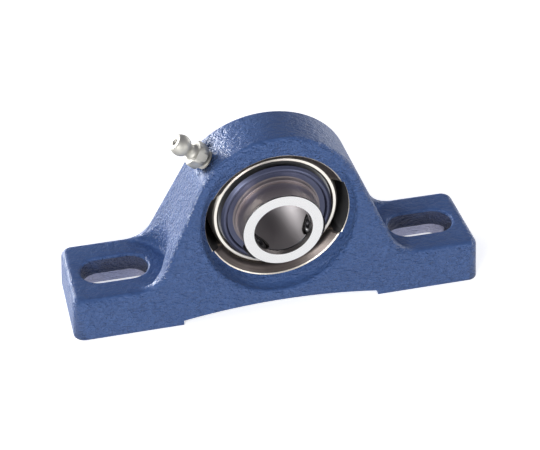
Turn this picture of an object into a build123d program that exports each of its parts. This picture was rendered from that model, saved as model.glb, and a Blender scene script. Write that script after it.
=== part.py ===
from build123d import *
from math import asin, atan, cos, pi, radians, sin, sqrt, tan
import os

# A pillow block bearing: a cast housing on two slotted feet that holds an insert ball bearing
# by its spherical outside, so that the bearing lines itself up with the shaft.
# Frame: X along the feet, Y along the shaft with the set screws at -Y, Z up.
# The origin is the middle of the base. Lengths are in millimetres and angles in degrees.

# Housing, outside
foot_end_wall = 4.75
base_width = 32.0
top_width = 16.4
centre_height = 30.2
crown_wall = 6.8
foot_height = 13.0
foot_end_draft = 0.5
flank_angle = 25.0
flank_root_radius = 9.0
outline_edge_radius = 2.0
foot_corner_radius = 3.5
bolt_spacing = 97.0
slot_length = 20.5
slot_width = 11.5
slot_rim_radius = 0.9
washer_seat_radius = 12.5
washer_seat_fillet = 1.6
arch_span = 61.0
arch_step = 1.4
arch_rise = 3.6

# Housing, around the bearing
seat_width = 13.0
bevel_rise = 2.4
bevel_lip = 0.3
recess_floor = 9.0
recess_rim_radius = 1.3
crown_land = 0.1
loading_slot_width = 18.8
loading_slot_room = 2.05
grease_groove_width = 6.0
grease_groove_depth = 0.8
grease_groove_offset = 1.5

# Insert bearing
shaft_diameter = 17.0
outer_diameter = 40.0
outer_ring_width = 12.0
inner_ring_width = 27.4
screw_side_reach = 15.9
bore_lead_rise = 0.4
bore_lead_length = 1.7
bore_lead_step = 0.15
ring_chamfer = 0.35
inner_ring_chamfer = 0.2
ball_diameter = 6.747
ball_count = 8
raceway_conformity = 1.04
inner_shoulder_height = 1.4
outer_shoulder_height = 1.45
seal_mouth_radius_inset = 1.15
seal_land_width = 1.5
seal_land_inset = 1.65
grease_hole_diameter = 1.4
grease_hole_offset = 3.9

# Cage
cage_thickness = 3.1
cage_back = 0.7
cage_mouth_depth = 2.3
cage_relief_width = 2.0

# Seals and flingers
washer_thickness = 0.6
lip_width = 1.5
lip_overhang = 0.5
flinger_thickness = 0.6
flinger_bend = 0.4
flinger_web_gap = 1.1
flinger_collar_length = 1.6
flinger_crest_width = 0.45
flinger_crest_share = 0.74
flinger_rim_gap = 0.9

# Set screws
screw_diameter = 6.0
screw_length = 4.6
screw_socket = 3.0
screw_socket_depth = 2.4
screw_from_face = 4.0
screw_end_chamfer = 0.45
screw_cup_diameter = 3.0
screw_cup_depth = 0.75
screw_cup_angle = 30.0
screw_angles = (-15.0, -135.0)

# Grease nipple
nipple_angle = 48.4
spot_face_depth = 0.4
spot_face_diameter = 10.4
nipple_stand = 1.6
nipple_hex = 7.0
nipple_hex_height = 3.5
nipple_hex_chamfer = 0.35
nipple_neck_diameter = 4.0
nipple_neck_flare = 0.5
nipple_neck_flare_height = 0.8
nipple_head_diameter = 6.4
nipple_tip_height = 2.2
nipple_tip_dimple = 0.4
nipple_reach = 11.7
nipple_thread_diameter = 6.0
nipple_foot_room = 1.0
nipple_bore_diameter = 2.5
nipple_mouth_diameter = 1.3
nipple_wall = 0.9
grease_passage_diameter = 3.2
check_ball_diameter = 2.0
spring_wire = 0.3
spring_turns = 9

# Clearances, each measured on the radius or between two faces
seat_clearance = 0.03
ball_clearance = 0.02
pocket_clearance = 0.08
lip_clearance = 0.05
press_clearance = 0.01
thread_clearance = 0.05
valve_clearance = 0.02
screw_tip_clearance = 0.25

# Places that follow from the driving sizes
housing_length = bolt_spacing + slot_length + 2 * foot_end_wall
half_length = housing_length / 2
half_base = base_width / 2
crown_radius = outer_diameter / 2 + crown_wall
overall_height = centre_height + crown_radius
face_lean = (base_width - top_width) / 2 / overall_height
half_lean = atan(face_lean) / 2
seat_radius = outer_diameter / 2 + seat_clearance
seat_edge = seat_width / 2
seat_edge_radius = sqrt(seat_radius**2 - seat_edge**2)
bevel_radius = seat_edge_radius + bevel_rise
recess_rim = crown_radius - outline_edge_radius / tan(pi / 4 + half_lean) - crown_land
recess_radius = recess_rim - recess_rim_radius / tan(pi / 4 - half_lean)

bore_radius = shaft_diameter / 2
outer_radius = outer_diameter / 2
half_outer = outer_ring_width / 2
ball_radius = ball_diameter / 2
pitch_radius = (shaft_diameter + outer_diameter) / 4
raceway_radius = ball_radius * raceway_conformity
inner_raceway_low = pitch_radius - ball_radius - ball_clearance
outer_raceway_high = pitch_radius + ball_radius + ball_clearance
inner_shoulder_radius = inner_raceway_low + inner_shoulder_height
outer_shoulder_radius = outer_raceway_high - outer_shoulder_height
inner_front = -screw_side_reach
inner_rear = inner_ring_width - screw_side_reach

# The shaft axis, the plane across it and the plane in which turned parts are drawn:
# distance along the shaft first, then radius.
shaft_axis = Axis((0, 0, centre_height), (0, 1, 0))
bearing_plane = Plane((0, 0, centre_height), x_dir=(1, 0, 0), z_dir=(0, -1, 0))
section_plane = Plane((0, 0, centre_height), x_dir=(0, 1, 0), z_dir=(1, 0, 0))

# The nipple stands on the crown, leaning towards -X. Heights along it are counted from the
# bearing centre.
nipple_lean = radians(nipple_angle)
nipple_direction = (-sin(nipple_lean), 0, cos(nipple_lean))
nipple_axis = Axis((0, 0, centre_height), nipple_direction)
nipple_plane = Plane((0, 0, centre_height), x_dir=(0, 1, 0), z_dir=nipple_direction)
nipple_section = Plane(
    (0, 0, centre_height), x_dir=(0, 1, 0), z_dir=(cos(nipple_lean), 0, sin(nipple_lean))
)
spot_face = crown_radius - spot_face_depth
nipple_tip = spot_face + nipple_reach
groove_radius = seat_radius + grease_groove_depth
nipple_foot = groove_radius + nipple_foot_room
nipple_hex_low = spot_face + nipple_stand

os.makedirs("parts", exist_ok=True)


def outline_face(plane, points):
    """A closed face through the points, drawn on the plane."""
    with BuildSketch(plane) as face:
        with BuildLine():
            Polyline(*points, close=True)
        make_face()
    return face.sketch


def turned(points):
    """The section of a turned part: (distance along the shaft, radius) points."""
    return outline_face(section_plane, points)


def both_sides(points):
    """The front and the rear copy of a section whose distances are given from the middle."""
    front = [(-distance, radius) for distance, radius in points]
    return turned(front), turned(points)


def finish(piece, name):
    """Name a finished piece and write it."""
    piece.part.label = name
    export_step(piece.part, f"parts/{name}.step")


# Cast housing. Its front outline is extruded, then cut to the leaning front and back faces.
flank = radians(flank_angle)
flank_top_x = crown_radius * cos(flank)
flank_top_z = centre_height + crown_radius * sin(flank)
foot_root_x = flank_top_x + (flank_top_z - foot_height) * tan(flank)
wedge_height = overall_height + outline_edge_radius
wedge_top = half_base - face_lean * wedge_height
wedge_points = [
    (-half_base, 0),
    (half_base, 0),
    (wedge_top, wedge_height),
    (-wedge_top, wedge_height),
]


def on_leaning_face(edge):
    """Whether an edge of the housing runs along its front or back face, above the base."""
    middle = edge @ 0.5
    face_y = half_base - face_lean * middle.Z
    return abs(abs(middle.Y) - face_y) < 0.05 and middle.Z > foot_height / 2


def on_foot_end(edge):
    """Whether an edge of the housing is the upright corner of a foot."""
    middle = edge @ 0.5
    upright = abs(edge.tangent_at(0.5).Z) > 0.9
    return upright and abs(middle.X) > half_length - foot_height and middle.Z < foot_height


def across_foot_top(edge):
    """Whether an edge of the housing is the top edge of a foot's end."""
    middle = edge @ 0.5
    near_end = abs(middle.X) > half_length - 2 * foot_end_draft
    return near_end and abs(middle.Z - foot_height) < 0.05


def on_slot_rim(edge):
    """Whether an edge of the housing runs round the top of a bolt slot."""
    middle = edge @ 0.5
    in_slot = abs(middle.Y) < slot_width / 2 + 0.01
    along = abs(abs(middle.X) - bolt_spacing / 2) < slot_length / 2 + 0.01
    return in_slot and along and abs(middle.Z - foot_height) < 0.01


def on_recess_rim(edge):
    """Whether an edge of the housing is the rim of the round hole in a leaning face."""
    middle = edge @ 0.5
    off_axis = sqrt(middle.X**2 + (middle.Z - centre_height)**2)
    return abs(off_axis - recess_radius) < 0.01 and abs(middle.Y) > seat_edge


# The room above the washer seats, with the rounding that the pattern leaves round their floor.
with BuildPart() as washer_room:
    with BuildSketch(Plane.XY.offset(foot_height)):
        with Locations((bolt_spacing / 2, 0), (-bolt_spacing / 2, 0)):
            SlotCenterToCenter(slot_length - slot_width, 2 * washer_seat_radius)
    extrude(amount=overall_height)
    fillet(washer_room.faces().sort_by(Axis.Z)[:2].edges(), washer_seat_fillet)

# The wall that carries the seat, between the two recesses.
with BuildPart() as seat_wall:
    with BuildSketch(bearing_plane.offset(-recess_floor)):
        Circle(recess_rim + crown_land / 2)
    extrude(amount=2 * recess_floor)
    extrude(
        outline_face(Plane.YZ, wedge_points),
        amount=half_length,
        both=True,
        mode=Mode.INTERSECT,
    )

with BuildPart() as housing:
    with BuildSketch(Plane.XZ) as front_outline:
        with BuildLine():
            crown = CenterArc((0, centre_height), crown_radius, flank_angle, 180 - 2 * flank_angle)
            Polyline(
                crown @ 1,
                (-foot_root_x, foot_height),
                (-half_length + foot_end_draft, foot_height),
                (-half_length, 0),
                (half_length, 0),
                (half_length - foot_end_draft, foot_height),
                (foot_root_x, foot_height),
                crown @ 0,
            )
        make_face()
        roots = [v for v in front_outline.vertices() if abs(abs(v.X) - foot_root_x) < 0.01]
        fillet(roots, flank_root_radius)
    extrude(amount=half_base, both=True)
    extrude(
        outline_face(Plane.YZ, wedge_points),
        amount=half_length,
        both=True,
        mode=Mode.INTERSECT,
    )
    fillet(housing.edges().filter_by(on_foot_end), foot_corner_radius)
    fillet(
        housing.edges().filter_by(lambda e: on_leaning_face(e) or across_foot_top(e)),
        outline_edge_radius,
    )

    # Washer seats: flat pockets that scoop the roots of the flanks.
    add(washer_room.part, mode=Mode.SUBTRACT)

    # Bolt slots, with a rounded rim on top.
    with BuildSketch(Plane.XY):
        with Locations((bolt_spacing / 2, 0), (-bolt_spacing / 2, 0)):
            SlotOverall(slot_length, slot_width)
    extrude(amount=foot_height, mode=Mode.SUBTRACT)
    fillet(housing.edges().filter_by(on_slot_rim), slot_rim_radius)

    # Under the middle the base is relieved, so that the block stands on its two feet.
    with BuildSketch(Plane.XZ):
        with BuildLine():
            Line((-arch_span / 2, 0), (-arch_span / 2, arch_step))
            ThreePointArc((-arch_span / 2, arch_step), (0, arch_rise), (arch_span / 2, arch_step))
            Line((arch_span / 2, arch_step), (arch_span / 2, 0))
            Line((arch_span / 2, 0), (-arch_span / 2, 0))
        make_face()
    extrude(amount=half_base, both=True, mode=Mode.SUBTRACT)

    # A round recess in each face, its rim rounded. It runs out where the faces lean in.
    with BuildSketch(bearing_plane.offset(-half_base)):
        Circle(recess_radius)
    extrude(amount=base_width, mode=Mode.SUBTRACT)
    fillet(housing.edges().filter_by(on_recess_rim), recess_rim_radius)
    add(seat_wall.part)

    # Spherical seat and the bevel at each mouth.
    with Locations((0, 0, centre_height)):
        Sphere(seat_radius, mode=Mode.SUBTRACT)
    mouth_section = [
        (seat_edge, 0),
        (seat_edge, seat_edge_radius),
        (recess_floor - bevel_lip, bevel_radius),
        (recess_floor, bevel_radius + bevel_lip),
        (base_width, bevel_radius + bevel_lip),
        (base_width, 0),
    ]
    revolve(both_sides(mouth_section), axis=shaft_axis, mode=Mode.SUBTRACT)

    # Loading slots: the bearing goes in edge on through them and is then turned in its seat.
    with BuildSketch(bearing_plane):
        Circle(outer_radius + loading_slot_room)
        Rectangle(2 * recess_radius, loading_slot_width, mode=Mode.INTERSECT)
    extrude(amount=recess_floor, mode=Mode.SUBTRACT)

    # Grease way: spot face and threaded hole on the crown, then a passage to a groove in the seat.
    with BuildSketch(nipple_plane.offset(spot_face)):
        Circle(spot_face_diameter / 2)
    extrude(amount=crown_radius, mode=Mode.SUBTRACT)
    with BuildSketch(nipple_plane.offset(nipple_foot - thread_clearance)):
        Circle(nipple_thread_diameter / 2 + thread_clearance)
    extrude(amount=crown_radius, mode=Mode.SUBTRACT)
    with BuildSketch(nipple_plane.offset(seat_edge_radius)):
        Circle(grease_passage_diameter / 2)
    extrude(amount=crown_radius, mode=Mode.SUBTRACT)
    groove_low = grease_groove_offset - grease_groove_width / 2
    groove_high = grease_groove_offset + grease_groove_width / 2
    revolve(
        turned([
            (groove_low, seat_edge_radius),
            (groove_high, seat_edge_radius),
            (groove_high, groove_radius),
            (groove_low, groove_radius),
        ]),
        axis=shaft_axis,
        mode=Mode.SUBTRACT,
    )
finish(housing, "housing")


# Outer ring: a ball turned down to a ring, with the outer raceway and a seal land at each end.
seal_mouth_radius = sqrt(outer_radius**2 - half_outer**2) - seal_mouth_radius_inset
seal_land_radius = seal_mouth_radius - (seal_land_inset - seal_mouth_radius_inset)
seal_floor = half_outer - seal_land_width

with BuildPart() as outer_ring:
    with Locations((0, 0, centre_height)):
        Sphere(outer_radius)
    with BuildSketch(bearing_plane.offset(-half_outer)):
        Circle(outer_radius)
    extrude(amount=outer_ring_width, mode=Mode.INTERSECT)
    chamfer(outer_ring.edges().filter_by(GeomType.CIRCLE), ring_chamfer)
    with BuildSketch(bearing_plane.offset(-half_outer)):
        Circle(outer_shoulder_radius)
    extrude(amount=outer_ring_width, mode=Mode.SUBTRACT)
    land_section = [
        (seal_floor, 0),
        (seal_floor, seal_land_radius),
        (half_outer - (seal_mouth_radius - seal_land_radius), seal_land_radius),
        (half_outer, seal_mouth_radius),
        (half_outer, 0),
    ]
    revolve(both_sides(land_section), axis=shaft_axis, mode=Mode.SUBTRACT)
    with BuildSketch(section_plane):
        with Locations((0, outer_raceway_high - raceway_radius)):
            Circle(raceway_radius)
    revolve(axis=shaft_axis, mode=Mode.SUBTRACT)
    with BuildSketch(Plane.XY.offset(centre_height)):
        with Locations((0, grease_hole_offset)):
            Circle(grease_hole_diameter / 2)
    extrude(amount=outer_radius, mode=Mode.SUBTRACT)
finish(outer_ring, "outer_ring")


# Set screw holes cross the long end of the inner ring towards the shaft.
screw_y = inner_front + screw_from_face
screw_tip = bore_radius + screw_tip_clearance


def screw_plane(angle):
    """The plane across a set screw's axis, through the shaft axis, facing outwards."""
    lean = radians(angle)
    return Plane((0, screw_y, centre_height), x_dir=(0, 1, 0), z_dir=(cos(lean), 0, sin(lean)))


with BuildPart() as inner_ring:
    inner_section = [
        (inner_front + bore_lead_length + bore_lead_step, bore_radius),
        (inner_front + bore_lead_length, bore_radius + bore_lead_step),
        (inner_front, bore_radius + bore_lead_rise),
        (inner_front, inner_shoulder_radius - inner_ring_chamfer),
        (inner_front + inner_ring_chamfer, inner_shoulder_radius),
        (inner_rear - inner_ring_chamfer, inner_shoulder_radius),
        (inner_rear, inner_shoulder_radius - inner_ring_chamfer),
        (inner_rear, bore_radius + bore_lead_rise),
        (inner_rear - bore_lead_length, bore_radius + bore_lead_step),
        (inner_rear - bore_lead_length - bore_lead_step, bore_radius),
    ]
    revolve(turned(inner_section), axis=shaft_axis)
    with BuildSketch(section_plane):
        with Locations((0, inner_raceway_low + raceway_radius)):
            Circle(raceway_radius)
    revolve(axis=shaft_axis, mode=Mode.SUBTRACT)
    for angle in screw_angles:
        with BuildSketch(screw_plane(angle)):
            Circle(screw_diameter / 2 + thread_clearance)
        extrude(amount=outer_radius, mode=Mode.SUBTRACT)
finish(inner_ring, "inner_ring")


for number, angle in enumerate(screw_angles, 1):
    with BuildPart() as set_screw:
        with BuildSketch(screw_plane(angle).offset(screw_tip)):
            Circle(screw_diameter / 2)
        extrude(amount=screw_length)
        chamfer(set_screw.edges().filter_by(GeomType.CIRCLE), screw_end_chamfer)
        with BuildSketch(screw_plane(angle).offset(screw_tip + screw_length)):
            RegularPolygon(screw_socket / 2, 6, major_radius=False)
        extrude(amount=-screw_socket_depth, mode=Mode.SUBTRACT)
        with BuildSketch(screw_plane(angle).offset(screw_tip)):
            Circle(screw_cup_diameter / 2)
        extrude(amount=screw_cup_depth, taper=screw_cup_angle, mode=Mode.SUBTRACT)
    finish(set_screw, f"set_screw_{number}")


for number in range(ball_count):
    turn = 360 / ball_count * (number + 0.5)
    with BuildPart(bearing_plane) as ball:
        with PolarLocations(pitch_radius, 1, start_angle=turn):
            Sphere(ball_radius)
    finish(ball, f"ball_{number + 1}")


# Crown cage: a ring behind the balls, with a pocket for each ball that closes past its middle.
pocket_radius = ball_radius + pocket_clearance
cage_inner_radius = pitch_radius - cage_thickness / 2
cage_outer_radius = pitch_radius + cage_thickness / 2
relief_radius = cage_relief_width / 2

with BuildPart(bearing_plane) as cage:
    cage_section = [
        (-cage_mouth_depth, cage_inner_radius),
        (pocket_radius + cage_back, cage_inner_radius),
        (pocket_radius + cage_back, cage_outer_radius),
        (-cage_mouth_depth, cage_outer_radius),
    ]
    revolve(turned(cage_section), axis=shaft_axis)
    with PolarLocations(pitch_radius, ball_count, start_angle=180 / ball_count):
        Sphere(pocket_radius, mode=Mode.SUBTRACT)
    for number in range(ball_count):
        turn = radians(360 / ball_count * number)
        outward = (cos(turn), 0, sin(turn))
        between = Plane((0, 0, centre_height), x_dir=(0, 1, 0), z_dir=outward)
        with BuildSketch(between.offset(cage_inner_radius - relief_radius)):
            with Locations((-cage_mouth_depth, 0)):
                SlotCenterToCenter(2 * (cage_mouth_depth - relief_radius), cage_relief_width)
        extrude(amount=cage_thickness + 2 * relief_radius, mode=Mode.SUBTRACT)
finish(cage, "cage")


# Seals: a steel washer pressed in the outer ring carries a rubber lip that runs on the inner ring.
washer_inner = inner_shoulder_radius + lip_width / 2
washer_outer = seal_land_radius - press_clearance
lip_inner = inner_shoulder_radius + lip_clearance
lip_outer = inner_shoulder_radius + lip_width
washer_low = seal_floor + press_clearance
washer_high = washer_low + washer_thickness

washer_section = [
    (washer_low, washer_inner),
    (washer_high, washer_inner),
    (washer_high, washer_outer),
    (washer_low, washer_outer),
]
lip_section = [
    (washer_low, lip_inner + lip_overhang),
    (washer_high, lip_inner),
    (washer_high + lip_overhang, lip_inner + lip_overhang / 2),
    (washer_high + lip_overhang, lip_outer - lip_overhang / 2),
    (washer_high, lip_outer),
    (washer_high, washer_inner),
    (washer_low, washer_inner),
]

# Flingers: pressed steel, tight on the inner ring, that throw off dirt in front of the seals.
flinger_web = washer_high + lip_overhang + flinger_web_gap + flinger_thickness / 2
flinger_collar = inner_shoulder_radius + press_clearance + flinger_thickness / 2
flinger_rim = seal_mouth_radius - flinger_rim_gap - flinger_thickness / 2
flinger_crest = flinger_collar + flinger_crest_share * (flinger_rim - flinger_collar)
flinger_line = [
    (flinger_web + flinger_collar_length, flinger_collar),
    (flinger_web, flinger_collar),
    (flinger_web, flinger_crest - flinger_crest_width),
    (flinger_web + flinger_rim - flinger_crest, flinger_crest),
    (flinger_web, flinger_rim),
]


def bent_sheet(points, bend_radius, thickness):
    """The section of a bent sheet, from the points of its middle line."""
    ends = [Vector(*points[0]), Vector(*points[-1])]
    with BuildSketch(section_plane) as face:
        with BuildLine() as line:
            Polyline(*points)
            bends = [v for v in line.vertices() if min((v.center() - e).length for e in ends) > 0.01]
            fillet(bends, bend_radius)
        trace(line_width=thickness)
    return face.sketch


for side, direction in (("front", -1), ("rear", 1)):
    for piece, section in (("seal_washer", washer_section), ("seal_lip", lip_section)):
        with BuildPart() as ring:
            placed = [(direction * distance, radius) for distance, radius in section]
            revolve(turned(placed), axis=shaft_axis)
        finish(ring, f"{side}_{piece}")
    with BuildPart() as flinger:
        placed = [(direction * distance, radius) for distance, radius in flinger_line]
        revolve(bent_sheet(placed, flinger_bend, flinger_thickness), axis=shaft_axis)
    finish(flinger, f"{side}_flinger")


# Grease nipple: threaded foot, hexagon, neck and ball-shaped head, drilled for ball and spring.
neck_radius = nipple_neck_diameter / 2
head_middle = nipple_tip - nipple_tip_height
hex_top = nipple_hex_low + nipple_hex_height
hex_corner = nipple_hex / sqrt(3)
valve_radius = nipple_bore_diameter / 2
mouth_radius = nipple_mouth_diameter / 2
seat_slope = valve_radius - mouth_radius
bore_top = nipple_tip - nipple_wall - seat_slope
valve_depth = nipple_foot + nipple_wall
turned_hexagon = [
    (0, nipple_hex_low),
    (hex_corner - 2 * nipple_hex_chamfer, nipple_hex_low),
    (hex_corner, nipple_hex_low + nipple_hex_chamfer),
    (hex_corner, hex_top - nipple_hex_chamfer),
    (hex_corner - 2 * nipple_hex_chamfer, hex_top),
    (0, hex_top),
]
neck_profile = [
    (0, nipple_foot),
    (nipple_thread_diameter / 2, nipple_foot),
    (nipple_thread_diameter / 2, hex_top),
    (neck_radius + nipple_neck_flare, hex_top),
    (neck_radius, hex_top + nipple_neck_flare_height),
    (neck_radius, head_middle),
    (0, head_middle),
]
valve_profile = [
    (0, valve_depth),
    (valve_radius, valve_depth),
    (valve_radius, bore_top),
    (mouth_radius, bore_top + seat_slope),
    (mouth_radius, nipple_tip - nipple_tip_dimple),
    (mouth_radius + nipple_tip_dimple, nipple_tip),
    (mouth_radius + nipple_tip_dimple, nipple_reach + nipple_tip),
    (0, nipple_reach + nipple_tip),
]

with BuildPart() as grease_nipple_body:
    with BuildSketch(nipple_plane.offset(nipple_hex_low)):
        RegularPolygon(nipple_hex / 2, 6, major_radius=False)
    extrude(amount=nipple_hex_height)
    revolve(
        outline_face(nipple_section, turned_hexagon), axis=nipple_axis, mode=Mode.INTERSECT
    )
    revolve(outline_face(nipple_section, neck_profile), axis=nipple_axis)
    with Locations(nipple_plane.offset(head_middle).origin):
        Sphere(nipple_head_diameter / 2)
    with BuildSketch(nipple_plane.offset(nipple_tip)):
        Circle(nipple_head_diameter / 2)
    extrude(amount=nipple_head_diameter, mode=Mode.SUBTRACT)
    revolve(outline_face(nipple_section, valve_profile), axis=nipple_axis, mode=Mode.SUBTRACT)
    with BuildSketch(nipple_plane.offset(nipple_foot)):
        Circle(mouth_radius)
    extrude(amount=nipple_wall, mode=Mode.SUBTRACT)
finish(grease_nipple_body, "grease_nipple_body")


# The check ball closes the nipple's mouth from inside, pushed by a coil spring.
check_radius = check_ball_diameter / 2
seat_angle = pi / 4
ball_seat = bore_top + seat_slope - check_radius / sin(seat_angle) + mouth_radius
check_ball_height = ball_seat - valve_clearance / sin(seat_angle)

with BuildPart(nipple_plane) as nipple_check_ball:
    with Locations((0, 0, check_ball_height)):
        Sphere(check_radius)
finish(nipple_check_ball, "nipple_check_ball")

coil_radius = valve_radius - spring_wire / 2 - thread_clearance - valve_clearance
spring_low = valve_depth + spring_wire / 2 + valve_clearance
contact_lean = asin(min(coil_radius / (check_radius + spring_wire / 2), 1))
spring_high = check_ball_height - (check_radius + spring_wire / 2) * cos(contact_lean)
spring_height = spring_high - spring_low - valve_clearance

with BuildPart() as nipple_spring:
    with BuildLine():
        coil = Helix(
            spring_height / spring_turns,
            spring_height,
            coil_radius,
            center=nipple_plane.offset(spring_low).origin,
            direction=nipple_direction,
        )
    with BuildSketch(Plane(coil @ 0, z_dir=coil % 0)):
        Circle(spring_wire / 2)
    sweep()
finish(nipple_spring, "nipple_spring")
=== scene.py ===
# %% [markdown]
# # Dressing a pillow block bearing
# The bearing stands on two slotted feet. Its cast housing is blue enamel over rough sand-cast iron,
# and the insert inside is ground steel. The solids come from a CAD model, already at their real size
# and place, so this notebook never moves them: it gives them their finish, adds the screw threads
# and the hollow feet that the solids leave out, and sets the studio. Places on the bearing are in
# millimetres, and what Blender is given is in metres.

# %% Load the frame
from math import cos, radians, sin

import bmesh
import bpy
from mathutils import Matrix, Vector


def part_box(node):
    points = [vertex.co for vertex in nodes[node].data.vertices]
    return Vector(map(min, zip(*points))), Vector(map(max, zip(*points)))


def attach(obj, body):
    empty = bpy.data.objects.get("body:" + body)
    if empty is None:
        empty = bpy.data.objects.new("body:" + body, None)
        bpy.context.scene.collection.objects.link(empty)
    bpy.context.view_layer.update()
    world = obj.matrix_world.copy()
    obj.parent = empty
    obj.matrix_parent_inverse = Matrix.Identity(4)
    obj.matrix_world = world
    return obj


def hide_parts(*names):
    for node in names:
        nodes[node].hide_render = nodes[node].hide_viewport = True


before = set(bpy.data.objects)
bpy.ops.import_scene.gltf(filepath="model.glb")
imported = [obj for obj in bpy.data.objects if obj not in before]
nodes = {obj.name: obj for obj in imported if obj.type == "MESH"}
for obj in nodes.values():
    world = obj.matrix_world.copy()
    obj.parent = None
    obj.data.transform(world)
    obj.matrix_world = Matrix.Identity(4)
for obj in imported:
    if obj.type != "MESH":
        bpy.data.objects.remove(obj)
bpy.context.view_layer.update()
MM = 0.001
print("CAD nodes:", len(nodes))

# %% [markdown]
# ## Sizes that the finish follows
# Paint stops where a tool has cut the casting, so the paint has to know where the seat, the bevel and
# the slots lie. These places are read from the frame's boxes where a piece shows them, and stated in
# millimetres where it doesn't. Where a mask compares a place with a size, a few hundredths of a
# millimetre are added, so that the surface that lies exactly there is taken in.

# %% Places on the bearing
ring_low, ring_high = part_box("outer_ring")
inner_low, inner_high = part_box("inner_ring")
SHAFT_HEIGHT = (ring_low.z + ring_high.z) / 2 / MM
INNER_RING_RADIUS = inner_high.x / MM
INNER_RING_FRONT = inner_low.y / MM
INNER_RING_REAR = inner_high.y / MM
RING_HALF_WIDTH = ring_high.y / MM
SEAL_LAND_RADIUS = 17.43
SEAT_RIM_RADIUS = 20.2
BEVEL_EDGE_RADIUS = 21.65
BEVEL_LIP = 0.32
RECESS_DEPTH = 9.0
RECESS_LIP = 0.34
LOADING_SLOT_HALF = 9.4
LOADING_SLOT_RADIUS = 22.05
LOADING_SLOT_LIP = 0.42
BORE_RADIUS = 8.5
BORE_STEP_HEIGHT = 0.16
BORE_STEP_LENGTH = 1.88
RING_CHAMFER = 0.21
FOOT_TOP = 13.0
SLOT_CENTRE_X = 48.5
SLOT_HALF_LENGTH = 10.25
SLOT_HALF_WIDTH = 5.75
POCKET_CENTRE_X = 47.0
POCKET_LENGTH = 21.8
POCKET_WIDTH = 20.8
POCKET_HEIGHT = 7.2
POCKET_CORNER = 3.0
print("shaft height", round(SHAFT_HEIGHT, 2), "mm, inner ring radius", round(INNER_RING_RADIUS, 2), "mm")

# %% [markdown]
# ## The camera
# The photograph looks down at the block from the front and a little from its left, through a long
# lens. The angles, the distance and the field of view were fitted to the photograph's edges, so the
# render can be laid over it. The camera's three axes are worked out first, and a matrix places it.

# %% Camera
CAMERA_AZIMUTH = radians(-14.43)
CAMERA_ELEVATION = radians(37.02)
CAMERA_ROLL = radians(-0.48)
CAMERA_DISTANCE = 0.47183
CAMERA_AIM = Vector((0, 0, 0.025))
AIM_SHIFT_RIGHT = -0.00009
AIM_SHIFT_UP = -0.00361
SENSOR_WIDTH = 36.0
FOCAL_LENGTH = 103.8


def add_camera():
    backward = Vector((
        sin(CAMERA_AZIMUTH) * cos(CAMERA_ELEVATION),
        -cos(CAMERA_AZIMUTH) * cos(CAMERA_ELEVATION),
        sin(CAMERA_ELEVATION),
    ))
    level_right = Vector((cos(CAMERA_AZIMUTH), sin(CAMERA_AZIMUTH), 0))
    level_up = backward.cross(level_right)
    right = cos(CAMERA_ROLL) * level_right - sin(CAMERA_ROLL) * level_up
    up = cos(CAMERA_ROLL) * level_up + sin(CAMERA_ROLL) * level_right
    place = CAMERA_AIM + right * AIM_SHIFT_RIGHT + up * AIM_SHIFT_UP + backward * CAMERA_DISTANCE
    lens = bpy.data.cameras.new("photo_camera")
    lens.sensor_width = SENSOR_WIDTH
    lens.lens = FOCAL_LENGTH
    camera = bpy.data.objects.new("photo_camera", lens)
    turn = Matrix((right, up, backward)).transposed().to_4x4()
    camera.matrix_world = Matrix.Translation(place) @ turn
    bpy.context.scene.collection.objects.link(camera)
    bpy.context.scene.camera = camera
    return camera


print("camera at", [round(v, 3) for v in add_camera().location])

# %% [markdown]
# ## Writing node trees as sums
# A material is a graph of nodes. Wiring one by hand takes three lines a node and hides the maths, so
# a small class wraps a socket and lets Python's own signs make the Math nodes: `1 - mask` or
# `radius * 2` each add one. `Graph.node` makes every other node from its type, its settings and
# what goes into its sockets. The same two classes serve materials and Geometry Nodes.


# %% Sockets that can be added and multiplied
class Wire:
    """The output socket of a node, used like a number."""

    def __init__(self, graph, socket):
        self.graph = graph
        self.socket = socket

    def math(self, operation, *values):
        return self.graph.node("ShaderNodeMath", {"operation": operation}, dict(enumerate(values)))

    def __add__(self, other):
        return self.math("ADD", self, other)

    def __radd__(self, other):
        return self.math("ADD", other, self)

    def __sub__(self, other):
        return self.math("SUBTRACT", self, other)

    def __rsub__(self, other):
        return self.math("SUBTRACT", other, self)

    def __mul__(self, other):
        return self.math("MULTIPLY", self, other)

    def __rmul__(self, other):
        return self.math("MULTIPLY", other, self)

    def __truediv__(self, other):
        return self.math("DIVIDE", self, other)

    def __rtruediv__(self, other):
        return self.math("DIVIDE", other, self)

    def __lt__(self, other):
        return self.math("LESS_THAN", self, other)

    def __gt__(self, other):
        return self.math("GREATER_THAN", self, other)

    def size(self):
        return self.math("ABSOLUTE", self)

    def root(self):
        return self.math("SQRT", self)

    def most(self, other):
        return self.math("MAXIMUM", self, other)

    def ramp(self, low, high):
        """0 below low, 1 above high and a smooth climb between them."""
        return self.graph.node(
            "ShaderNodeMapRange",
            {"interpolation_type": "SMOOTHSTEP"},
            {"Value": self, "From Min": low, "From Max": high, "To Min": 0.0, "To Max": 1.0},
        )


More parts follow.
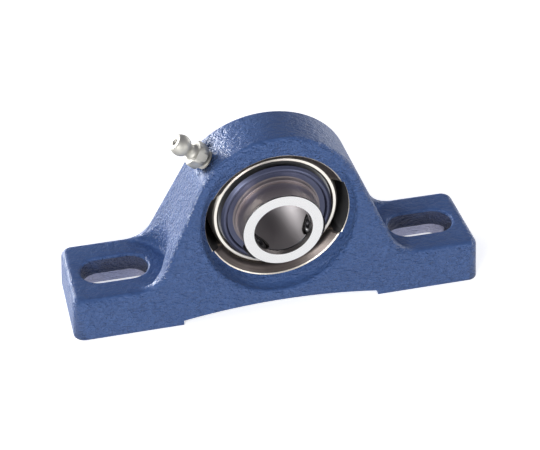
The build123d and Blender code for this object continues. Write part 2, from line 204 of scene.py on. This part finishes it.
class Graph:
    """A node tree that is written with wires."""

    def __init__(self, tree):
        self.tree = tree

    def node(self, kind, settings=None, sockets=None, output=0):
        """Make a node: its settings first, then its sockets. Returns a wire from one output."""
        made = self.tree.nodes.new(kind)
        for name, value in (settings or {}).items():
            setattr(made, name, value)
        for key, value in (sockets or {}).items():
            self.feed(made.inputs[key], value)
        return Wire(self, made.outputs[output])

    def feed(self, socket, value):
        """Put a wire, a number, a vector or a colour of three numbers into a socket."""
        if isinstance(value, Wire):
            self.tree.links.new(value.socket, socket)
        elif socket.type == "RGBA":
            socket.default_value = (*value, 1.0)
        else:
            socket.default_value = value

    def mix(self, factor, first, second):
        """A blend of two colours: first where the factor is 0, second where it is 1."""
        made = self.tree.nodes.new("ShaderNodeMix")
        made.data_type = "RGBA"
        sockets = [s for s in made.inputs if s.enabled]
        for socket, value in zip(sockets, (factor, first, second)):
            self.feed(socket, value)
        return Wire(self, [s for s in made.outputs if s.enabled][0])


class Finish(Graph):
    """A material in the making. Its places are wires in millimetres, in the frame of the CAD."""

    def __init__(self, name):
        self.material = bpy.data.materials.new(name)
        self.material.use_nodes = True
        super().__init__(self.material.node_tree)
        self.tree.nodes.clear()
        metres = self.node("ShaderNodeTexCoord", output="Object")
        self.place = self.node("ShaderNodeVectorMath", {"operation": "SCALE"}, {0: metres, "Scale": 1 / MM})
        self.x = self.axis("X")
        self.y = self.axis("Y")
        self.z = self.axis("Z")
        self.height = self.z - SHAFT_HEIGHT
        self.radius = (self.x * self.x + self.height * self.height).root()

    def axis(self, name):
        return self.node("ShaderNodeSeparateXYZ", None, {0: self.place}, name)

    def vector(self, x, y, z):
        return self.node("ShaderNodeCombineXYZ", None, {0: x, 1: y, 2: z})

    def noise(self, size_mm, detail=2.0, roughness=0.5, at=None, distortion=0.0):
        """Cloudy noise from 0 to 1 with lumps of about that size."""
        return self.node(
            "ShaderNodeTexNoise",
            None,
            {
                "Vector": at or self.place,
                "Scale": 1 / size_mm,
                "Detail": detail,
                "Roughness": roughness,
                "Distortion": distortion,
            },
        )

    def bump(self, height, depth_mm):
        """A relief that is depth_mm high where the height is 1."""
        depth = depth_mm * MM
        return self.node("ShaderNodeBump", None, {"Height": height, "Strength": 1.0, "Distance": depth})

    def shader(self, **sockets):
        named = {name.replace("_", " "): value for name, value in sockets.items()}
        return self.node("ShaderNodeBsdfPrincipled", None, named)

    def blend(self, factor, first, second):
        """One shader where the factor is 0, the other where it is 1."""
        return self.node("ShaderNodeMixShader", None, {0: factor, 1: first, 2: second})

    def done(self, surface):
        out = self.tree.nodes.new("ShaderNodeOutputMaterial")
        self.tree.links.new(surface.socket, out.inputs["Surface"])
        return self.material


def dress(names, material):
    """Give CAD nodes a finish in place of their plain one."""
    for name in names:
        mesh = nodes[name].data
        mesh.materials.clear()
        mesh.materials.append(material)
    print(f"{material.name}: {len(names)} nodes")


# %% [markdown]
# ## Blue enamel on cast iron
# A sand casting keeps the print of the sand: lumps a millimetre or two wide, drawn out along the
# block, with finer grain on top. The enamel is thick enough to round the grain and thin enough to show
# the lumps, so its gloss breaks up into short streaks. Noises of three sizes make that relief and feed
# one bump, which is softer on what looks up, as in the photograph. Inside the foot pockets the walls
# are painted light: a pale lavender with paler patches stands in for the light that reaches them from
# below. Where a tool has cut the seat and the bevel there is bare iron with turning marks, and its cut
# lips get a cream painted highlight. The feet are milled bare below, and the two loading slots are
# painted near-black as shade. One shader can't be paint and metal at once, so several are mixed by
# masks that are worked out from the distance to the shaft's axis.

# %% Cast housing
PAINT_BLUE = (0.056, 0.117, 0.296)
PAINT_THIN = (0.041, 0.089, 0.238)
SLOT_GRIME = (0.034, 0.031, 0.052)
# The two pocket colours are painted light: pale lavenders that stand in for the light reaching the pocket
# walls from below.
POCKET_PAINTED_GLOW_BASE = (0.40, 0.44, 0.66)
POCKET_PAINTED_GLOW_PATCH = (0.62, 0.62, 0.78)
LUMP_SIZE = 2.3
PEBBLE_SIZE = 0.95
GRAIN_SIZE = 0.42
RELIEF_DEPTH = 3.1
SHARP_EDGE = 0.02


def cast_enamel():
    f = Finish("cast_enamel")
    drawn_out = f.vector(f.x * 0.62, f.y, f.z * 1.15)
    lumps = f.noise(LUMP_SIZE, 2.0, 0.5, at=drawn_out, distortion=0.6)
    pebble = f.noise(PEBBLE_SIZE, 2.0, 0.55, at=drawn_out, distortion=0.3)
    grain = f.noise(GRAIN_SIZE, 2.0, 0.5)
    broad = f.noise(17.0, 2.0)
    normal = f.node("ShaderNodeNewGeometry", output="Normal")
    facing_up = f.node("ShaderNodeSeparateXYZ", None, {0: normal}, "Z")
    steepness = 1.0 - 0.76 * facing_up.ramp(0.35, 0.9)
    relief = lumps * 0.34 + pebble * 0.48 + grain * 0.18
    normal = f.bump(relief * steepness, RELIEF_DEPTH)
    colour = f.mix(relief.ramp(0.30, 0.62), PAINT_THIN, PAINT_BLUE)
    colour = f.mix(broad.ramp(0.35, 0.7) * 0.25, colour, PAINT_THIN)
    beside_slot = (f.x.size() - SLOT_CENTRE_X).size() < SLOT_HALF_LENGTH + 0.05
    in_bolt_slot = beside_slot * (f.y.size() < SLOT_HALF_WIDTH + 0.05) * (f.z < FOOT_TOP - 0.8)
    colour = f.mix(in_bolt_slot * broad.ramp(0.2, 0.6) * 0.7, colour, SLOT_GRIME)
    # Painted light: the pocket walls get the pale pocket colours in place of the light from below.
    in_pocket = (
        ((f.x.size() - POCKET_CENTRE_X).size() < POCKET_LENGTH / 2 + 0.03)
        * (f.y.size() < POCKET_WIDTH / 2 + 0.03)
        * (f.z < POCKET_HEIGHT + 0.03)
    )
    colour = f.mix(in_pocket, colour, f.mix(broad.ramp(0.3, 0.7), POCKET_PAINTED_GLOW_BASE, POCKET_PAINTED_GLOW_PATCH))
    enamel = f.shader(
        Base_Color=colour,
        Roughness=0.30 + grain * 0.20,
        Normal=normal,
        Specular_IOR_Level=0.42,
    )
    turning = f.noise(0.3, 1.0, at=f.vector(f.radius * 3.0, f.y * 3.0, 0.0))
    scratched = f.noise(3.5, 3.0, 0.6)
    in_slot = (f.height.size() < LOADING_SLOT_HALF + 0.05) * (f.radius > SEAT_RIM_RADIUS) * (f.y < 0.01)
    round_slot = (f.radius - LOADING_SLOT_RADIUS).size() < 0.06
    slot_lip = in_slot * round_slot * (f.y < LOADING_SLOT_LIP - RECESS_DEPTH)
    # Painted highlight: the cut lips of the bevel and of the loading slots get a cream colour for the bright
    # line along their edge.
    lip = (f.radius > BEVEL_EDGE_RADIUS - BEVEL_LIP) * (f.y.size() > RECESS_DEPTH - RECESS_LIP)
    iron = f.mix(turning * 0.6 + scratched * 0.4, (0.055, 0.045, 0.042), (0.22, 0.19, 0.175))
    bare = f.shader(
        Base_Color=f.mix(lip.most(slot_lip), iron, (0.74, 0.69, 0.60)),
        Metallic=0.9,
        Roughness=0.30 + turning * 0.16,
        Normal=f.bump(turning * 0.7 + scratched * 0.3, 0.03),
    )
    cutter = f.noise(0.6, 1.0, at=f.vector(f.x * 0.12, f.y * 2.0, 0.0))
    milled = f.shader(
        Base_Color=f.mix(cutter, (0.26, 0.25, 0.24), (0.44, 0.43, 0.41)),
        Metallic=0.95,
        Roughness=0.36 + cutter * 0.12,
        Normal=f.bump(cutter, 0.02),
    )
    # Painted shade: the loading slots below the recess floor get this near-black shader for the shade deep
    # inside them.
    black = f.shader(Base_Color=(0.006, 0.006, 0.007), Roughness=0.6, Normal=f.bump(lumps, 0.2))
    near_seat = (f.radius < BEVEL_EDGE_RADIUS + 0.01) * (f.y.size() < RECESS_DEPTH + SHARP_EDGE)
    below_floor = (f.radius < BEVEL_EDGE_RADIUS + 0.5) * (f.y > SHARP_EDGE - RECESS_DEPTH)
    metal = f.blend(near_seat.most(slot_lip), enamel, bare)
    footed = f.blend(f.z < 0.03, metal, milled)
    return f.done(f.blend(in_slot * below_floor * (1.0 - slot_lip), footed, black))


enamel_finish = cast_enamel()
dress(["housing"], enamel_finish)

# %% [markdown]
# ## Ground bearing steel
# Rings are ground on their faces and turned on their flanks, and either way the tool's marks run
# round the shaft. Noise that is read at the radius and the distance along the shaft gives such
# marks: it can't change along a circle. One function serves every ring, and for the inner ring it
# tells the parts of the ring apart by radius and depth: a bright ground face, a flank with a browner
# painted reflection, and a rougher, less metallic bore that mirrors less than the rest and is painted
# dark as shade, as in the photograph. The chamfers and the bore's small step are painted near-black as
# a dark reflection and shade, which draws the thin dark line round the bright face.


# %% Bearing rings
GROUND_CREAM = (0.93, 0.89, 0.80)
GROUND_FACE = (0.73, 0.73, 0.72)
SEAL_SHADOW = (0.012, 0.011, 0.012)
# Painted shade: the dark grey of the bore.
BORE_PAINTED_SHADE = (0.19, 0.175, 0.18)
# Painted dark reflection and shade: the near-black of the chamfers and of the bore's small step.
PAINTED_DARK_EDGE = (0.03, 0.03, 0.035)


def ring_steel(name, dark, light, roughness, inner=False, outer=False):
    f = Finish(name)
    marks = f.noise(0.25, 2.0, at=f.vector(f.radius, f.y, 0.0))
    stain = f.noise(6.0, 2.0)
    colour = f.mix(marks * 0.5 + stain * 0.5, dark, light)
    metal = 1.0
    if outer:
        end_face = f.y.size() > RING_HALF_WIDTH - 0.03
        colour = f.mix(f.radius < SEAL_LAND_RADIUS + 0.1, colour, SEAL_SHADOW)
        colour = f.mix(end_face * (f.radius > SEAL_LAND_RADIUS + 0.1), colour, GROUND_CREAM)
    if inner:
        face = (f.y < INNER_RING_FRONT + 0.02).most(f.y > INNER_RING_REAR - 0.02)
        near_face = (f.y < INNER_RING_FRONT + RING_CHAMFER).most(f.y > INNER_RING_REAR - RING_CHAMFER)
        flank = (f.radius > INNER_RING_RADIUS - 0.5) * (1.0 - near_face)
        at_front = f.y < INNER_RING_FRONT + BORE_STEP_LENGTH
        at_rear = f.y > INNER_RING_REAR - BORE_STEP_LENGTH
        step = (f.radius < BORE_RADIUS + BORE_STEP_HEIGHT) * at_front.most(at_rear)
        # Painted reflection: the flank gets a browner, darker colour for the brown it mirrors.
        colour = f.mix(flank, colour, f.mix(marks, (0.42, 0.37, 0.37), (0.66, 0.60, 0.60)))
        # Painted shade: the bore gets a dark colour, on top of its rougher, less metallic finish.
        bore = f.radius < BORE_RADIUS + 0.02
        colour = f.mix(bore, colour, BORE_PAINTED_SHADE)
        # Painted dark reflection and shade: the chamfers and the bore's small step get a near-black colour
        # that draws the thin dark line round the face.
        chamfer = (f.radius > INNER_RING_RADIUS - RING_CHAMFER) * near_face
        colour = f.mix(step.most(chamfer), colour, PAINTED_DARK_EDGE)
        colour = f.mix(face, colour, GROUND_FACE)
        roughness = roughness + 0.38 * bore + 0.18 * flank
        metal = 1.0 - 0.6 * bore
    return f.done(f.shader(
        Base_Color=colour,
        Metallic=metal,
        Roughness=roughness + marks * 0.1,
        Normal=f.bump(marks, 0.006),
    ))


dress(
    ["outer_ring"],
    ring_steel("outer_ring_steel", (0.60, 0.56, 0.50), (0.86, 0.82, 0.73), 0.26, outer=True),
)
dress(
    ["inner_ring"],
    ring_steel("inner_ring_steel", (0.50, 0.48, 0.46), (0.66, 0.64, 0.62), 0.20, inner=True),
)
balls = [name for name in nodes if name.startswith("ball_")]
dress(balls, ring_steel("ball_steel", (0.66, 0.66, 0.67), (0.74, 0.74, 0.75), 0.05))
dress(
    ["front_seal_washer", "rear_seal_washer"],
    ring_steel("washer_steel", (0.28, 0.28, 0.29), (0.4, 0.4, 0.41), 0.35),
)

# %% [markdown]
# ## Pressed flingers
# The flinger is a thin disc pressed from sheet, which turns with the inner ring and throws dirt off
# before it reaches the seal. In the photograph it is a dark blue grey that is neither paint nor bright
# metal, which suits a phosphate coat with its fine crystal grain. Paint would look too even for that,
# and a mirror too bright, so the shader is half metal. The collar that grips the ring gets a painted
# reflection: a brown colour of its own that widens the brown reflected on the inner ring's flank.


# %% Flingers
FLINGER_COLLAR = 1.1


def phosphated_steel():
    f = Finish("phosphated_steel")
    crystals = f.noise(0.35, 3.0, 0.6)
    marks = f.noise(0.5, 2.0, at=f.vector(f.radius, f.y, 0.0))
    colour = f.mix(marks * 0.6 + crystals * 0.4, (0.052, 0.060, 0.108), (0.092, 0.102, 0.168))
    return f.done(f.shader(
        # Painted reflection: the collar gets a brown colour that widens the brown mirrored on the inner
        # ring.
        Base_Color=f.mix(f.radius < INNER_RING_RADIUS + FLINGER_COLLAR, colour, (0.24, 0.21, 0.215)),
        Metallic=0.5,
        Roughness=0.28 + crystals * 0.08,
        Normal=f.bump(crystals * 0.3 + marks * 0.7, 0.006),
    ))


dress(["front_flinger", "rear_flinger"], phosphated_steel())

# %% [markdown]
# ## Small parts out of sight
# The rubber lips, the nylon cage and the nipple's ball and spring hardly show. They still get a
# finish of their own, because other views and other poses can bring them out. One cloudy noise that
# drives colour, gloss and relief together is enough at their size. So one function makes all of them,
# and further on the screws' black oxide and the nipple's zinc.


# %% Rubber lips, cage and valve
def plain_finish(name, dark, light, roughness, metallic, grain_mm, depth_mm):
    f = Finish(name)
    grain = f.noise(grain_mm, 3.0, 0.6)
    return f.done(f.shader(
        Base_Color=f.mix(grain, dark, light),
        Metallic=metallic,
        Roughness=roughness + grain * 0.12,
        Normal=f.bump(grain, depth_mm),
    ))


dress(
    ["front_seal_lip", "rear_seal_lip"],
    plain_finish("seal_rubber", (0.012, 0.012, 0.013), (0.028, 0.028, 0.03), 0.5, 0.0, 0.5, 0.01),
)
dress(["cage"], plain_finish("cage_nylon", (0.42, 0.30, 0.15), (0.60, 0.47, 0.28), 0.4, 0.0, 0.8, 0.02))
dress(
    ["nipple_check_ball", "nipple_spring"],
    plain_finish("valve_steel", (0.5, 0.5, 0.5), (0.7, 0.7, 0.7), 0.2, 1.0, 0.5, 0.005),
)

# %% [markdown]
# ## Real screw threads
# The solids stand in for a thread with a plain cylinder at the crests. A bump could draw rings on it,
# but a thread is a helix, and the screws stand proud of the ring, where its teeth show against the
# light. So a Geometry Nodes tree cuts the cylinder down to the root of the thread and winds a ridge
# round it: a spiral curve is swept with a four-cornered section, and laid on the screw's axis. The
# same tree serves both set screws and the foot of the grease nipple, with other numbers in its inputs.


# %% A Geometry Nodes tree with named inputs
class GeometryTree(Graph):
    """A Geometry Nodes tree in the making."""

    def __init__(self, name):
        super().__init__(bpy.data.node_groups.new(name, "GeometryNodeTree"))
        self.identifiers = {}
        self.entry = self.tree.nodes.new("NodeGroupInput")

    def input(self, name, kind):
        """Declare an input of the tree and return it as a wire."""
        made = self.tree.interface.new_socket(name=name, in_out="INPUT", socket_type=kind)
        self.identifiers[name] = made.identifier
        return Wire(self, next(s for s in self.entry.outputs if s.identifier == made.identifier))

    def vector_math(self, operation, sockets, output=0):
        return self.node("ShaderNodeVectorMath", {"operation": operation}, sockets, output)

    def finish(self, geometry, material):
        """End the tree in plain geometry with its material."""
        self.tree.interface.new_socket(name="Geometry", in_out="OUTPUT", socket_type="NodeSocketGeometry")
        real = self.node("GeometryNodeRealizeInstances", None, {"Geometry": geometry})
        dressed = self.node("GeometryNodeSetMaterial", None, {"Geometry": real, "Material": material})
        leave = self.tree.nodes.new("NodeGroupOutput")
        self.tree.links.new(dressed.socket, leave.inputs[0])
        return self


# %% The thread tree
def thread_tree():
    g = GeometryTree("screw_thread")
    body = g.input("Geometry", "NodeSocketGeometry")
    origin = g.input("Axis Origin", "NodeSocketVector")
    direction = g.input("Axis Direction", "NodeSocketVector")
    core = g.input("Core Radius", "NodeSocketFloat")
    crest = g.input("Crest Radius", "NodeSocketFloat")
    pitch = g.input("Pitch", "NodeSocketFloat")
    low = g.input("Thread Start", "NodeSocketFloat")
    high = g.input("Thread End", "NodeSocketFloat")
    plain_end = g.input("Shank End", "NodeSocketFloat")
    material = g.input("Material", "NodeSocketMaterial")

    from_origin = g.vector_math("SUBTRACT", {0: g.node("GeometryNodeInputPosition"), 1: origin})
    along = g.vector_math("DOT_PRODUCT", {0: from_origin, 1: direction}, 1)
    foot_point = g.vector_math("SCALE", {0: direction, "Scale": along})
    outward = g.vector_math("SUBTRACT", {0: from_origin, 1: foot_point})
    radius = g.vector_math("LENGTH", {0: outward}, 1)
    pulled_in = g.vector_math("SCALE", {0: outward, "Scale": core / radius})
    on_axis = g.vector_math("ADD", {0: origin, 1: foot_point})
    on_shank = (radius > crest * 0.96) * (radius < crest * 1.04) * (along < plain_end)
    at_core = g.vector_math("ADD", {0: on_axis, 1: pulled_in})
    cut_body = g.node(
        "GeometryNodeSetPosition", None, {"Geometry": body, "Selection": on_shank, "Position": at_core}
    )

    turns = (high - low) / pitch
    spiral = g.node(
        "GeometryNodeCurveSpiral",
        None,
        {
            "Resolution": 40,
            "Rotations": turns,
            "Start Radius": core,
            "End Radius": core,
            "Height": high - low,
        },
    )
    upright = g.node("GeometryNodeSetCurveNormal", {"mode": "Z_UP"}, {"Curve": spiral})
    square = g.node("GeometryNodeCurvePrimitiveCircle", None, {"Resolution": 4, "Radius": 1.0})
    tooth_size = g.node("ShaderNodeCombineXYZ", None, {0: crest - core, 1: pitch * 0.46, 2: 1.0})
    tooth = g.node("GeometryNodeTransform", None, {"Geometry": square, "Scale": tooth_size})
    ridge = g.node(
        "GeometryNodeCurveToMesh", None, {"Curve": upright, "Profile Curve": tooth, "Fill Caps": True}
    )
    turn = g.node("FunctionNodeAlignRotationToVector", {"axis": "Z"}, {"Vector": direction})
    start = g.vector_math("ADD", {0: origin, 1: g.vector_math("SCALE", {0: direction, "Scale": low})})
    placed = g.node(
        "GeometryNodeTransform", None, {"Geometry": ridge, "Translation": start, "Rotation": turn}
    )

    joined = g.tree.nodes.new("GeometryNodeJoinGeometry")
    g.tree.links.new(placed.socket, joined.inputs[0])
    g.tree.links.new(cut_body.socket, joined.inputs[0])
    return g.finish(Wire(g, joined.outputs[0]), material)


THREAD = thread_tree()
print("inputs of the thread tree:", ", ".join(THREAD.identifiers))

# %% [markdown]
# ## From a tree to a plain mesh
# A modifier that is still live isn't exported, so each threaded piece is made in four steps: a merged
# copy of the solid's mesh, the modifier with its inputs, the evaluated result as a mesh of its own, and
# the copy thrown away. The reach of a screw along its axis is read from its own vertices.

# %% Threaded pieces
THREAD_PITCH = 1.0 * MM
THREAD_CORE = 2.42 * MM
THREAD_CREST = 2.99 * MM
SMOOTH_UP_TO = radians(32)


def merged_copy(node, name):
    """A copy of a CAD node's mesh whose loose triangles are joined."""
    mesh = nodes[node].data.copy()
    mesh.name = name
    work = bmesh.new()
    work.from_mesh(mesh)
    bmesh.ops.remove_doubles(work, verts=work.verts, dist=0.5e-6)
    work.to_mesh(mesh)
    work.free()
    return mesh


def smooth_but_keep_edges(mesh):
    mesh.polygons.foreach_set("use_smooth", [True] * len(mesh.polygons))
    mesh.set_sharp_from_angle(angle=SMOOTH_UP_TO)


def reach_along(node, origin, direction):
    """Where a CAD node starts and ends along an axis."""
    heights = [(v.co - origin).dot(direction) for v in nodes[node].data.vertices]
    return min(heights), max(heights)


def grown(tree, node, name, **inputs):
    """A plain object grown by the tree from a CAD node."""
    source = bpy.data.objects.new(name + "_source", merged_copy(node, name + "_source"))
    bpy.context.scene.collection.objects.link(source)
    modifier = source.modifiers.new("grow", "NODES")
    modifier.node_group = tree.tree
    for key, value in inputs.items():
        modifier[tree.identifiers[key.replace("_", " ")]] = value
    evaluated = source.evaluated_get(bpy.context.evaluated_depsgraph_get())
    mesh = bpy.data.meshes.new_from_object(evaluated)
    mesh.name = name
    source.modifiers.remove(modifier)
    bpy.data.objects.remove(source)
    smooth_but_keep_edges(mesh)
    piece = bpy.data.objects.new(name, mesh)
    bpy.context.scene.collection.objects.link(piece)
    return piece


def threaded(node, body, origin, direction, material, shank_end=None, run_in=0.0, run_out=0.0):
    """Replace a CAD node with a copy that carries a real thread."""
    low, high = reach_along(node, origin, direction)
    shank_end = high if shank_end is None else shank_end
    piece = grown(
        THREAD, node, "threaded_" + node,
        Axis_Origin=origin, Axis_Direction=direction,
        Core_Radius=THREAD_CORE, Crest_Radius=THREAD_CREST, Pitch=THREAD_PITCH,
        Thread_Start=low + run_in, Thread_End=shank_end - run_out,
        Shank_End=shank_end + 0.02 * MM, Material=material,
    )
    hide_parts(node)
    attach(piece, body)
    print(f"{piece.name}: {len(piece.data.polygons)} faces")


# %% Set screws
black_oxide = plain_finish("black_oxide", (0.010, 0.010, 0.012), (0.030, 0.029, 0.032), 0.30, 0.5, 0.3, 0.01)
for number in (1, 2):
    screw_low, screw_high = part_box(f"set_screw_{number}")
    middle = (screw_low + screw_high) / 2
    foot = Vector((0, middle.y, SHAFT_HEIGHT * MM))
    threaded(
        f"set_screw_{number}", f"set_screw_{number}",
        foot, (middle - foot).normalized(), black_oxide, run_in=0.5 * MM, run_out=0.35 * MM,
    )

# %% Grease nipple
NIPPLE_LEAN = radians(48.4)
HEXAGON_LOW = 28.0 * MM
zinc_plate = plain_finish("zinc_plate", (0.42, 0.41, 0.37), (0.54, 0.53, 0.49), 0.50, 0.85, 2.0, 0.004)
threaded(
    "grease_nipple_body", "housing",
    Vector((0, 0, SHAFT_HEIGHT * MM)), Vector((-sin(NIPPLE_LEAN), 0, cos(NIPPLE_LEAN))), zinc_plate,
    shank_end=HEXAGON_LOW, run_in=0.6 * MM, run_out=0.3 * MM,
)

# %% [markdown]
# ## Hollow feet
# Iron that is thick cools slowly and shrinks into holes, so a foundry keeps its walls alike. The feet
# of such a block are hollow from below: through a bolt slot one looks past a plate, into a pocket
# with painted walls and on to the floor. The solid's feet are full, so a tree cuts the pockets. It
# draws a rectangle, rounds its corners, sweeps it upwards and takes it out of both feet.

# %% The pocket tree
def pocket_tree():
    g = GeometryTree("foot_pockets")
    body = g.input("Geometry", "NodeSocketGeometry")
    centre = g.input("Pocket Centre", "NodeSocketFloat")
    length = g.input("Pocket Length", "NodeSocketFloat")
    width = g.input("Pocket Width", "NodeSocketFloat")
    height = g.input("Pocket Height", "NodeSocketFloat")
    corner = g.input("Corner Radius", "NodeSocketFloat")
    material = g.input("Material", "NodeSocketMaterial")

    outline = g.node("GeometryNodeCurvePrimitiveQuadrilateral", None, {"Width": length, "Height": width})
    rounded = g.node(
        "GeometryNodeFilletCurve", {"mode": "POLY"}, {"Curve": outline, "Radius": corner, "Count": 8}
    )
    top = g.node("ShaderNodeCombineXYZ", None, {2: height})
    upward = g.node("GeometryNodeCurvePrimitiveLine", None, {"Start": (0.0, 0.0, -1.0 * MM), "End": top})
    core = g.node(
        "GeometryNodeCurveToMesh", None, {"Curve": upward, "Profile Curve": rounded, "Fill Caps": True}
    )
    cut = g.tree.nodes.new("GeometryNodeMeshBoolean")
    cut.operation = "DIFFERENCE"
    cut.solver = "MANIFOLD"
    g.tree.links.new(body.socket, cut.inputs["Mesh 1"])
    for side in (-1.0, 1.0):
        place = g.node("ShaderNodeCombineXYZ", None, {0: centre * side})
        moved = g.node("GeometryNodeTransform", None, {"Geometry": core, "Translation": place})
        g.tree.links.new(moved.socket, cut.inputs["Mesh 2"])
    return g.finish(Wire(g, cut.outputs["Mesh"]), material)


# %% Housing with hollow feet
def volume_of(mesh):
    work = bmesh.new()
    work.from_mesh(mesh)
    volume = work.calc_volume()
    work.free()
    return volume


def hollow_housing():
    full = volume_of(merged_copy("housing", "full_housing"))
    piece = grown(
        pocket_tree(), "housing", "hollow_housing",
        Pocket_Centre=POCKET_CENTRE_X * MM, Pocket_Length=POCKET_LENGTH * MM, Pocket_Width=POCKET_WIDTH * MM,
        Pocket_Height=POCKET_HEIGHT * MM, Corner_Radius=POCKET_CORNER * MM, Material=enamel_finish,
    )
    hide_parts("housing")
    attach(piece, "housing")
    taken = (full - volume_of(piece.data)) * 1e6
    print(f"{piece.name}: {len(piece.data.polygons)} faces, {taken:.2f} cubic cm taken out")


hollow_housing()

# %% [markdown]
# ## The studio
# The photograph is a product shot on white, with a bright streak down the left flank and daylight in
# the foot pockets, as on a light table. So four soft lamps stand low round the block, the strongest
# behind it on the left, where the flank mirrors it to the camera. The floor is lifted to white only
# for the camera and in reflections, so it doesn't light the block, and only its patches under the two
# pockets really glow.


# %% Floor, world and lamps
FLOOR_LIFT = 0.62
POCKET_GLOW = 0.62
FLOOR_SIZE = 6.0
FLOOR_GAP = 0.02 * MM
WORLD_STRENGTH = 0.62
LAMP_AIM = (0, 0, 0.03)


def floor_white():
    material = bpy.data.materials.new("floor_white")
    material.use_nodes = True
    g = Graph(material.node_tree)
    g.tree.nodes.clear()
    camera_ray = g.node("ShaderNodeLightPath", output="Is Camera Ray")
    glossy_ray = g.node("ShaderNodeLightPath", output="Is Glossy Ray")
    clear_ray = g.node("ShaderNodeLightPath", output="Is Transmission Ray")
    seen = camera_ray.most(glossy_ray).most(clear_ray)
    matt = g.node("ShaderNodeBsdfDiffuse", None, {"Color": (0.92, 0.92, 0.92)})
    place = g.node("ShaderNodeTexCoord", output="Object")
    x = g.node("ShaderNodeSeparateXYZ", None, {0: place}, "X") / MM
    y = g.node("ShaderNodeSeparateXYZ", None, {0: place}, "Y") / MM
    under_pocket = ((x.size() - POCKET_CENTRE_X).size() < POCKET_LENGTH / 2) * (y.size() < POCKET_WIDTH / 2)
    glow = (seen * FLOOR_LIFT).most(under_pocket * POCKET_GLOW)
    lift = g.node("ShaderNodeEmission", None, {"Color": (1.0, 1.0, 1.0), "Strength": glow})
    both = g.node("ShaderNodeAddShader", None, {0: matt, 1: lift})
    out = g.tree.nodes.new("ShaderNodeOutputMaterial")
    g.tree.links.new(both.socket, out.inputs["Surface"])
    return material


def add_floor():
    half = FLOOR_SIZE / 2
    corners = [(-half, -half), (half, -half), (half, half), (-half, half)]
    mesh = bpy.data.meshes.new("studio_floor")
    mesh.from_pydata([(x, y, -FLOOR_GAP) for x, y in corners], [], [(0, 1, 2, 3)])
    mesh.materials.append(floor_white())
    floor = bpy.data.objects.new("studio_floor", mesh)
    bpy.context.scene.collection.objects.link(floor)


def add_lamp(name, place, width, height, watts):
    lamp = bpy.data.lights.new(name, "AREA")
    lamp.shape = "RECTANGLE"
    lamp.size = width
    lamp.size_y = height
    lamp.energy = watts
    made = bpy.data.objects.new(name, lamp)
    made.location = place
    made.rotation_euler = (Vector(LAMP_AIM) - Vector(place)).to_track_quat("-Z", "Y").to_euler()
    bpy.context.scene.collection.objects.link(made)


def set_world():
    world = bpy.data.worlds.new("studio_world")
    world.use_nodes = True
    bpy.context.scene.world = world
    g = Graph(world.node_tree)
    g.tree.nodes.clear()
    direction = g.node("ShaderNodeTexCoord", output="Generated")
    up = g.node("ShaderNodeSeparateXYZ", None, {0: direction}, "Z")
    colour = g.mix(up.ramp(0.02, 0.5), (1.0, 1.0, 1.0), (0.42, 0.42, 0.48))
    seen = g.node("ShaderNodeLightPath", output="Is Camera Ray")
    colour = g.mix(seen, colour, (1.0, 1.0, 1.0))
    strength = WORLD_STRENGTH + seen * (1.0 - WORLD_STRENGTH)
    background = g.node("ShaderNodeBackground", None, {"Color": colour, "Strength": strength})
    out = g.tree.nodes.new("ShaderNodeOutputWorld")
    g.tree.links.new(background.socket, out.inputs["Surface"])


add_floor()
set_world()
add_lamp("front_left_lamp", (-0.85, -1.0, 0.42), 0.5, 0.36, 12.0)
add_lamp("front_right_lamp", (0.8, -1.1, 0.30), 0.6, 0.4, 4.5)
add_lamp("left_lamp", (-0.78, 1.0, 0.09), 0.7, 0.18, 28.0)
add_lamp("right_lamp", (1.1, 0.6, 0.20), 0.6, 0.4, 5.0)
bpy.context.scene.view_settings.view_transform = "Standard"
